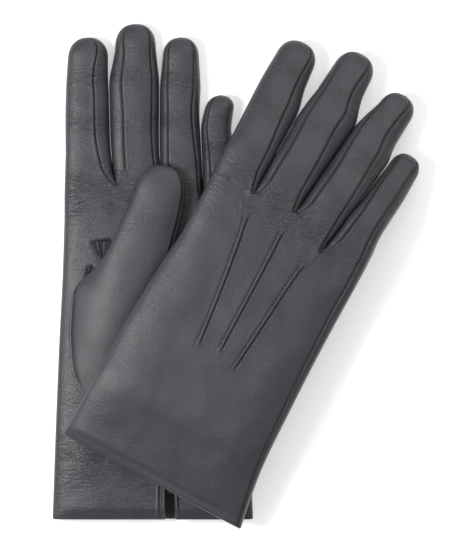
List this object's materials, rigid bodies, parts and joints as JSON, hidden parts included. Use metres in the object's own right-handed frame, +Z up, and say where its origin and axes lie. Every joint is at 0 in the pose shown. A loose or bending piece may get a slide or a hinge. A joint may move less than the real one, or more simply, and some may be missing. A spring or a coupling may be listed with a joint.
{
  "type": "pair of leather dress gloves",
  "caption": "Pair of smooth leather dress gloves with fourchettes, raised points on the back and a vent at the wrist, one laid palm down across the other.",
  "frame": {"origin": "centre of the pair's outline, on the surface that it lies on", "axes": "+Y runs from the cuff to the fingertips of the lower glove, +Z is up out of the surface"},
  "size_m": [0.1911, 0.2588, 0.035],
  "materials": {
    "leather": "smooth nappa, satin",
    "lining": "fine knit",
    "thread": "twisted thread"
  },
  "bodies": {
    "left_hand": {"left_hand_shell": "leather", "left_hand_lining": "lining", "left_cuff_hem": "leather", "left_vent_bindings": "leather", "left_back_points": "leather", "left_point_stitches": "thread", "left_side_seam": "thread"},
    "left_index": {"left_index_panels": "leather", "left_index_fourchettes": "leather", "left_index_lining": "lining", "left_index_seams": "thread"},
    "left_middle": {"left_middle_panels": "leather", "left_middle_fourchettes": "leather", "left_middle_lining": "lining", "left_middle_seams": "thread"},
    "left_ring": {"left_ring_panels": "leather", "left_ring_fourchettes": "leather", "left_ring_lining": "lining", "left_ring_seams": "thread"},
    "left_little": {"left_little_panels": "leather", "left_little_fourchettes": "leather", "left_little_lining": "lining", "left_little_seams": "thread"},
    "left_thumb": {"left_thumb_shell": "leather", "left_thumb_lining": "lining", "left_thumb_quirk": "leather", "left_thumb_seam": "thread"},
    "right_hand": {"right_hand_shell": "leather", "right_hand_lining": "lining", "right_cuff_hem": "leather", "right_vent_bindings": "leather", "right_back_points": "leather", "right_point_stitches": "thread", "right_side_seam": "thread"},
    "right_index": {"right_index_panels": "leather", "right_index_fourchettes": "leather", "right_index_lining": "lining", "right_index_seams": "thread"},
    "right_middle": {"right_middle_panels": "leather", "right_middle_fourchettes": "leather", "right_middle_lining": "lining", "right_middle_seams": "thread"},
    "right_ring": {"right_ring_panels": "leather", "right_ring_fourchettes": "leather", "right_ring_lining": "lining", "right_ring_seams": "thread"},
    "right_little": {"right_little_panels": "leather", "right_little_fourchettes": "leather", "right_little_lining": "lining", "right_little_seams": "thread"},
    "right_thumb": {"right_thumb_shell": "leather", "right_thumb_lining": "lining", "right_thumb_quirk": "leather", "right_thumb_seam": "thread"}
  },
  "joints": [
    {"name": "right_glove_lift", "type": "slide", "parent": "left_hand", "child": "right_hand", "axis": [0, 0, 1], "range_m": [0, 0.1]},
    {"name": "left_index_flex", "type": "hinge", "parent": "left_hand", "child": "left_index", "pos_m": [-0.07705, 0.05849, 0.012], "axis": [1, 0, 0], "range_deg": [0, 75]},
    {"name": "left_middle_flex", "type": "hinge", "parent": "left_hand", "child": "left_middle", "pos_m": [-0.05255, 0.05849, 0.012], "axis": [1, 0, 0], "range_deg": [0, 75]},
    {"name": "left_ring_flex", "type": "hinge", "parent": "left_hand", "child": "left_ring", "pos_m": [-0.02905, 0.05849, 0.012], "axis": [1, 0, 0], "range_deg": [0, 75]},
    {"name": "left_little_flex", "type": "hinge", "parent": "left_hand", "child": "left_little", "pos_m": [-0.00825, 0.04449, 0.012], "axis": [1, 0, 0], "range_deg": [0, 14]},
    {"name": "left_thumb_swing", "type": "hinge", "parent": "left_hand", "child": "left_thumb", "pos_m": [-0.06855, -0.03191, 0.0123], "axis": [0, 0, 1], "range_deg": [0, 60]},
    {"name": "right_index_flex", "type": "hinge", "parent": "right_hand", "child": "right_index", "pos_m": [0.00846, 0.06681, 0.0344], "axis": [0.8949, -0.4462, 0], "range_deg": [0, 75]},
    {"name": "right_middle_flex", "type": "hinge", "parent": "right_hand", "child": "right_middle", "pos_m": [0.03202, 0.05582, 0.0344], "axis": [0.866, -0.5, 0], "range_deg": [0, 75]},
    {"name": "right_ring_flex", "type": "hinge", "parent": "right_hand", "child": "right_ring", "pos_m": [0.05329, 0.0437, 0.0344], "axis": [0.8141, -0.5807, 0], "range_deg": [0, 75]},
    {"name": "right_little_flex", "type": "hinge", "parent": "right_hand", "child": "right_little", "pos_m": [0.06773, 0.02593, 0.0344], "axis": [0.8339, -0.5519, 0], "range_deg": [0, 75]},
    {"name": "right_thumb_swing", "type": "hinge", "parent": "right_hand", "child": "right_thumb", "pos_m": [-0.02715, -0.01191, 0.0123], "axis": [0, 0, 1], "range_deg": [0, 12]}
  ]
}
